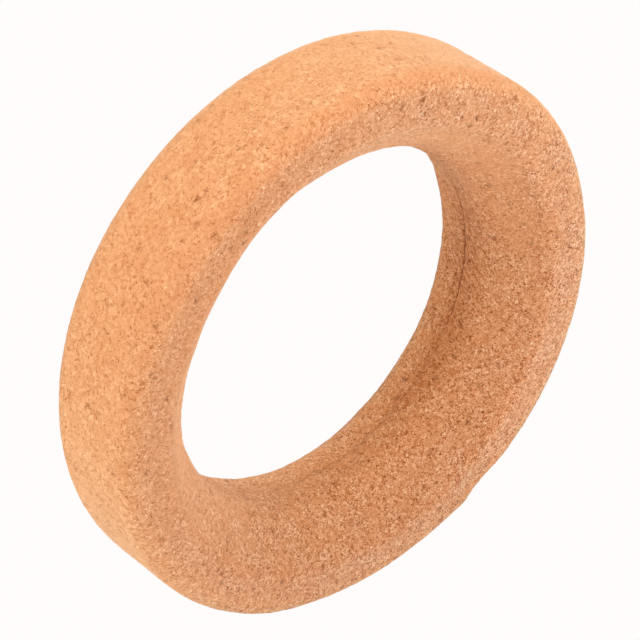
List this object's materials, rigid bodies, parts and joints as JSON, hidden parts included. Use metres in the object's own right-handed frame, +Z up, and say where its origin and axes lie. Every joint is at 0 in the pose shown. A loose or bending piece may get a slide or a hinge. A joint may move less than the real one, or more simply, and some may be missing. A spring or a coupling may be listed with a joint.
{
  "type": "cork ring",
  "caption": "Pressed cork ring that holds a round-bottomed flask upright: a thick flat ring with rounded edges and a flared seat round its hole.",
  "frame": {"origin": "centre of the flat base that the ring rests on", "axes": "+Z up the ring's axis, from the base towards the flask seat; X and Y lie in the base and are interchangeable, because the ring is a body of revolution"},
  "size_m": [0.14, 0.14, 0.03],
  "materials": {
    "cork": "matt pressed cork granules, fine to medium grain, turned and sanded, bare"
  },
  "bodies": {
    "root": {"cork_ring": "cork"}
  },
  "joints": []
}
